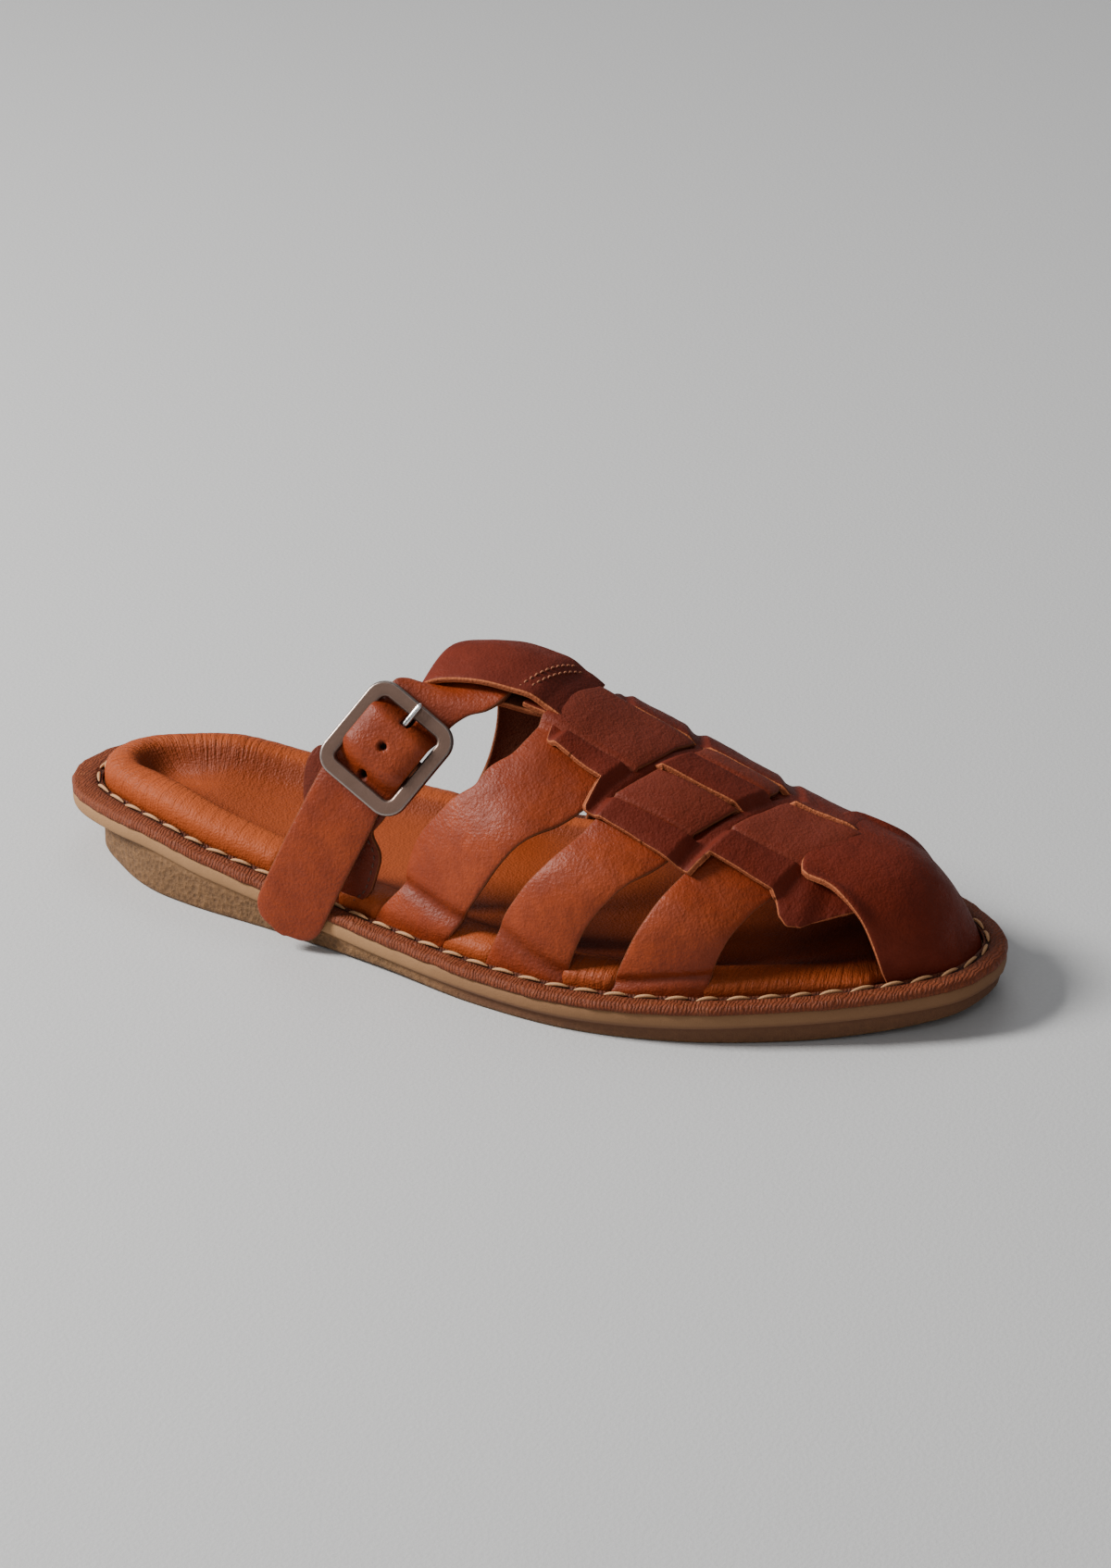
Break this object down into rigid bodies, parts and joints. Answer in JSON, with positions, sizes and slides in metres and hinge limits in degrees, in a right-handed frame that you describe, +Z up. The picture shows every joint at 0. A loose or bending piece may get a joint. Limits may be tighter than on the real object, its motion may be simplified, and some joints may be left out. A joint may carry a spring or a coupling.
{
  "type": "fisherman sandal",
  "caption": "Backless fisherman sandal for the right foot: woven leather straps and toe cap, buckled instep strap, padded footbed, stitched crepe rubber sole.",
  "frame": {"origin": "middle of the box's underside, on the floor under the sole", "axes": "+Z up, +Y towards the heel, -Y towards the toe, -X towards the outer side of the right foot"},
  "size_m": [0.1056, 0.265, 0.0756],
  "materials": {
    "rubber": "matt, crepe textured at the heel",
    "strip": "matt, finely grained",
    "footbed": "matt",
    "upper": "waxed, semi-gloss",
    "strap": "waxed, semi-gloss",
    "buckle": "satin gunmetal plating",
    "prong": "polished nickel plating"
  },
  "bodies": {
    "root": {"outsole": "rubber", "welt_strip": "strip", "footbed": "footbed", "upper": "upper", "instep_strap": "strap", "buckle_strap": "strap", "buckle_frame": "buckle", "buckle_prong": "prong"}
  },
  "joints": []
}
